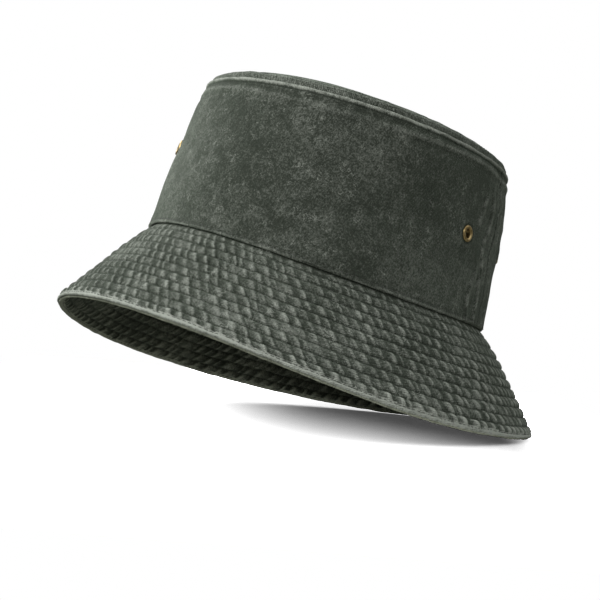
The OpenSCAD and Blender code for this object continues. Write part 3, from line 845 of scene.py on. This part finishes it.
def cloth_shader(name, dark, base, pale, wear_and_shade_gain=0.2, mottle=1.0):
    """Washed twill: diagonal ribs, speckled yarn, faded patches, paler cloth where it is worn, and painted
    shade where the mesh marks grooves and folds.
    """
    s = Shader(name)
    where = s.add("ShaderNodeTexCoord").outputs["Object"]
    cloth = s.attribute("cloth", "Vector")
    wear_and_shade = s.attribute("wear_and_shade", "Fac")
    patches = s.noise(where, 24.0, 3.0, 0.6)
    clouds = s.noise(where, 110.0, 4.0, 0.65, 0.5)
    yarn = s.noise(where, 480.0, 3.0, 0.7)
    grain = s.noise(where, 1150.0, 2.0, 0.7)
    strand = s.math("ABSOLUTE", s.math("SUBTRACT", s.noise(where, 330.0, 2.0, 0.5, 1.0), 0.5))
    sparse = s.math("MAXIMUM", s.math("SUBTRACT", s.noise(where, 150.0, 2.0, 0.5), 0.50), 0.0)
    thin = s.math("MAXIMUM", s.math("SUBTRACT", 1.0, s.math("MULTIPLY", strand, 26.0)), 0.0)
    lint = s.math("MULTIPLY", thin, sparse)
    split = s.add("ShaderNodeSeparateXYZ", {0: cloth})
    wander = s.math("MULTIPLY", s.noise(cloth, 260.0, 2.0), 0.0011)
    diagonal = s.math("ADD", s.math("ADD", split.outputs[0], split.outputs[1]), wander)
    ribs = s.math("SINE", s.math("MULTIPLY", diagonal, 2 * math.pi / RIB_PITCH))
    # one number from painted shade in a groove to a worn crest, which the ramp turns into colour
    tone = s.math("MULTIPLY_ADD", wear_and_shade, wear_and_shade_gain, 0.42)
    for layer, amount in ((patches, 0.22), (clouds, 0.24), (yarn, 0.30)):
        tone = s.math("MULTIPLY_ADD", s.math("SUBTRACT", layer, 0.5), amount * mottle, tone)
    rough = s.math("MULTIPLY_ADD", s.math("MAXIMUM", wear_and_shade, 0.0), 0.3, 0.55 * mottle)
    tone = s.math("MULTIPLY_ADD", s.math("SUBTRACT", grain, 0.5), rough, tone)
    tone = s.math("MULTIPLY_ADD", lint, 1.6 * mottle, tone)
    tone = s.math("MULTIPLY_ADD", ribs, 0.02, tone)
    middle = tuple(0.55 * b + 0.45 * p for b, p in zip(base, pale))
    color = s.ramp(tone, [(0.05, dark), (0.40, base), (0.64, middle), (1.0, pale)])
    s.put(s.surface.inputs["Base Color"], color)
    height = s.math("MULTIPLY_ADD", ribs, 0.35, s.math("MULTIPLY", yarn, 1.4))
    height = s.math("MULTIPLY_ADD", grain, 1.0, height)
    relief = s.add("ShaderNodeBump", {"Strength": 0.9, "Distance": 0.0004, "Height": height})
    s.put(s.surface.inputs["Normal"], relief.outputs[0])
    s.surface.inputs["Roughness"].default_value = 0.93
    s.surface.inputs["Specular IOR Level"].default_value = 0.2
    s.surface.inputs["Sheen Weight"].default_value = 0.26
    s.surface.inputs["Sheen Roughness"].default_value = 0.4
    s.surface.inputs["Sheen Tint"].default_value = (0.78, 0.95, 0.74, 1)
    return s.material


def felt_shader():
    s = Shader("interlining_felt")
    where = s.add("ShaderNodeTexCoord").outputs["Object"]
    fibres = s.noise(where, 900.0, 5.0, 0.7, 1.5)
    color = s.ramp(fibres, [(0.3, (0.42, 0.40, 0.35)), (0.7, (0.62, 0.60, 0.54))])
    s.put(s.surface.inputs["Base Color"], color)
    relief = s.add("ShaderNodeBump", {"Strength": 0.5, "Distance": 0.0004, "Height": fibres})
    s.put(s.surface.inputs["Normal"], relief.outputs[0])
    s.surface.inputs["Roughness"].default_value = 0.95
    return s.material


def thread_shader(name, dark, pale):
    s = Shader(name)
    where = s.add("ShaderNodeTexCoord").outputs["Object"]
    strands = s.noise(where, 2600.0, 2.0, 0.6)
    fade = s.noise(where, 60.0, 3.0, 0.6)
    tone = s.math("MULTIPLY_ADD", strands, 0.5, s.math("MULTIPLY", fade, 0.5))
    s.put(s.surface.inputs["Base Color"], s.ramp(tone, [(0.35, dark), (0.65, pale)]))
    relief = s.add("ShaderNodeBump", {"Strength": 0.6, "Distance": 0.0001, "Height": strands})
    s.put(s.surface.inputs["Normal"], relief.outputs[0])
    s.surface.inputs["Roughness"].default_value = 0.75
    s.surface.inputs["Sheen Weight"].default_value = 0.2
    return s.material


def brass_shader():
    """Antique brass: warm metal with dark patina in patches and fine scratches."""
    s = Shader("antique_brass")
    where = s.add("ShaderNodeTexCoord").outputs["Object"]
    patina = s.noise(where, 420.0, 5.0, 0.65, 0.6)
    scratch = s.noise(where, 2400.0, 3.0, 0.7)
    color = s.ramp(s.math("MULTIPLY_ADD", scratch, 0.3, s.math("MULTIPLY", patina, 0.7)),
                   [(0.34, (0.10, 0.070, 0.030)), (0.47, (0.38, 0.28, 0.12)), (0.62, (0.66, 0.52, 0.26))])
    s.put(s.surface.inputs["Base Color"], color)
    s.put(s.surface.inputs["Roughness"], s.math("MULTIPLY_ADD", scratch, 0.25, 0.22))
    relief = s.add("ShaderNodeBump", {"Strength": 0.35, "Distance": 0.0001, "Height": scratch})
    s.put(s.surface.inputs["Normal"], relief.outputs[0])
    s.surface.inputs["Metallic"].default_value = 1.0
    return s.material


def paint(objects, material):
    for obj in objects:
        obj.data.materials.clear()
        obj.data.materials.append(material)


# ---------------------------------------------------------------- camera, light and floor

CAMERA_AZIMUTH, CAMERA_ELEVATION, CAMERA_ROLL = math.radians(20.0), math.radians(-5.77), math.radians(16.65)
CAMERA_DISTANCE = 1.0353
LENS, SENSOR = 120.2, 36.0
# Where the camera aims beside the middle of the brim seam, as slopes along its right and up
AIM_RIGHT, AIM_UP = -0.0068, -0.0078
# The floor runs along the line of sight, and falls to the camera's right by this angle
FLOOR_ROLL = math.radians(4.3)


def camera_axes():
    back = Vector((math.sin(CAMERA_AZIMUTH) * math.cos(CAMERA_ELEVATION),
                   -math.cos(CAMERA_AZIMUTH) * math.cos(CAMERA_ELEVATION), math.sin(CAMERA_ELEVATION)))
    level = Vector((0, 0, 1)).cross(back).normalized()
    above = back.cross(level)
    right = level * math.cos(CAMERA_ROLL) + above * math.sin(CAMERA_ROLL)
    up = above * math.cos(CAMERA_ROLL) - level * math.sin(CAMERA_ROLL)
    return right, up, back


def make_camera():
    right, up, back = camera_axes()
    seam = Vector((0, 0, SEAM_Z * MM))
    place = seam + back * CAMERA_DISTANCE
    forward = (-back + right * AIM_RIGHT + up * AIM_UP).normalized()
    aim_right = forward.cross(up).normalized()
    aim_up = aim_right.cross(forward)
    data = bpy.data.cameras.new("camera")
    data.lens, data.sensor_width = LENS, SENSOR
    data.clip_start, data.clip_end = 0.05, 50
    camera = bpy.data.objects.new("camera", data)
    turn = Matrix((aim_right, aim_up, -forward)).transposed().to_4x4()
    camera.matrix_world = Matrix.Translation(place) @ turn
    bpy.context.scene.collection.objects.link(camera)
    bpy.context.scene.camera = camera
    return right, up, back


def area_light(name, place, target, size, power):
    data = bpy.data.lights.new(name, "AREA")
    data.shape, data.size, data.energy = "DISK", size, power
    light = bpy.data.objects.new(name, data)
    light.location = place
    light.rotation_euler = (place - target).to_track_quat("Z", "Y").to_euler()
    bpy.context.scene.collection.objects.link(light)


def make_light(right, up, back):
    """A white studio, lit from above and from the camera's left."""
    world = bpy.data.worlds.new("studio")
    bpy.context.scene.world = world
    world.use_nodes = True
    tree = world.node_tree
    sky = tree.nodes["Background"]
    seen = tree.nodes.new("ShaderNodeBackground")
    seen.inputs["Color"].default_value = (1, 1, 1, 1)
    where = tree.nodes.new("ShaderNodeTexCoord")
    height = tree.nodes.new("ShaderNodeVectorMath")
    height.operation = "DOT_PRODUCT"
    height.inputs[1].default_value = up
    tree.links.new(where.outputs["Generated"], height.inputs[0])
    ramp = tree.nodes.new("ShaderNodeValToRGB")
    tree.links.new(height.outputs["Value"], ramp.inputs["Fac"])
    low, high = ramp.color_ramp.elements
    low.position, low.color = 0.0, (0.18, 0.18, 0.165, 1)
    high.position, high.color = 0.8, (0.75, 0.75, 0.77, 1)
    tree.links.new(ramp.outputs["Color"], sky.inputs["Color"])
    sky.inputs["Strength"].default_value = 0.95
    path = tree.nodes.new("ShaderNodeLightPath")
    mix = tree.nodes.new("ShaderNodeMixShader")
    tree.links.new(path.outputs["Is Camera Ray"], mix.inputs[0])
    tree.links.new(sky.outputs[0], mix.inputs[1])
    tree.links.new(seen.outputs[0], mix.inputs[2])
    tree.links.new(mix.outputs[0], tree.nodes["World Output"].inputs["Surface"])
    middle = Vector((0, 0, (SEAM_Z + 20) * MM))
    for name, depth, power in (("key_far", -1.3, 10.5), ("key", 0.3, 7.4), ("key_near", 1.1, 7.6)):
        area_light(name, middle - right * 0.85 + up * 0.95 + back * depth, middle, 0.7, power)
    area_light("fill", middle + right * 0.3 + up * 0.7 + back * 1.0, middle, 0.9, 0.2)


def make_floor(right, up, back, rims):
    """The pale floor under the tilted hat, which shows only the hat's soft shadow."""
    normal = (up * math.cos(FLOOR_ROLL) + right * math.sin(FLOOR_ROLL)).normalized()
    across = normal.cross(back).normalized()
    points = np.concatenate([np.array([v.co for v in rim.data.vertices]) for rim in rims])
    level = float((points @ np.array(normal)).min()) - 0.0002
    outline = ((-0.2, -0.5), (0.2, -0.5), (0.2, 0.5), (-0.2, 0.5))
    corners = [normal * level + across * x + back * y for x, y in outline]
    mesh = bpy.data.meshes.new("floor")
    mesh.from_pydata(corners, [], [tuple(range(len(corners)))])
    floor = bpy.data.objects.new("floor", mesh)
    bpy.context.scene.collection.objects.link(floor)
    s = Shader("pale_floor")
    where = s.add("ShaderNodeTexCoord").outputs["Object"]
    pale = s.ramp(s.noise(where, 30.0), [(0.3, (0.80, 0.80, 0.80)), (0.7, (0.84, 0.84, 0.84))])
    s.put(s.surface.inputs["Base Color"], pale)
    s.surface.inputs["Roughness"].default_value = 0.8
    # the shadow fades out well inside the patch's own edges, and sooner on its high side
    side, near = (s.add("ShaderNodeVectorMath", {0: where, 1: tuple(axis)},
                        operation="DOT_PRODUCT").outputs["Value"] for axis in (across, back))
    full = s.math("MULTIPLY_ADD", side, 2.2, -0.215)
    clear = s.math("MULTIPLY_ADD", side, 0.3, 0.42)
    share = None
    for along, clear_at, full_at in ((side, -0.13, 0.025), (side, 0.15, 0.11), (near, -0.42, -0.20),
                                     (near, clear, full)):
        ends = {"Value": along, "From Min": clear_at, "From Max": full_at, "To Min": 0.0, "To Max": 1.0}
        part = s.add("ShaderNodeMapRange", ends, interpolation_type="SMOOTHSTEP").outputs[0]
        share = part if share is None else s.math("MULTIPLY", share, part)
    bare = s.add("ShaderNodeBsdfTransparent")
    mix = s.add("ShaderNodeMixShader", {0: s.math("MULTIPLY", share, 0.95), 1: bare.outputs[0],
                                        2: s.surface.outputs[0]})
    s.put(s.tree.nodes["Material Output"].inputs["Surface"], mix.outputs[0])
    paint([floor], s.material)
    floor.is_shadow_catcher = True


# ---------------------------------------------------------------- the hat


def main():
    bpy.context.scene.view_settings.view_transform = "Standard"
    right, up, back = make_camera()
    make_light(right, up, back)
    brim = make_brim()
    make_floor(right, up, back, [brim["brim_lower_front"], brim["brim_lower_back"]])
    crown = make_crown()
    threads = make_threads()
    metal = make_eyelets()
    outer = cloth_shader("washed_twill", (0.012, 0.0145, 0.0105), (0.049, 0.058, 0.0445), (0.45, 0.48, 0.42))
    # a lighter, more contrasty copy of the twill, which paints light into the shaded underside
    under = cloth_shader("under_twill", (0.008, 0.010, 0.006), (0.058, 0.066, 0.046), (0.46, 0.49, 0.38))
    band = cloth_shader("band_cotton", (0.010, 0.011, 0.008), (0.030, 0.033, 0.026), (0.12, 0.13, 0.11),
                        mottle=0.6)
    felt = felt_shader()
    for name, obj in brim.items():
        paint([obj], felt if "interlining" in name else under if "lower" in name else outer)
    inside = ("sweatband", "top_seam_tape", "side_seam_tape_left", "side_seam_tape_right")
    for name, obj in crown.items():
        paint([obj], band if name in inside else outer)
    paint(threads, thread_shader("sewing_thread", (0.030, 0.034, 0.028), (0.11, 0.12, 0.10)))
    paint(metal, brass_shader())


main()
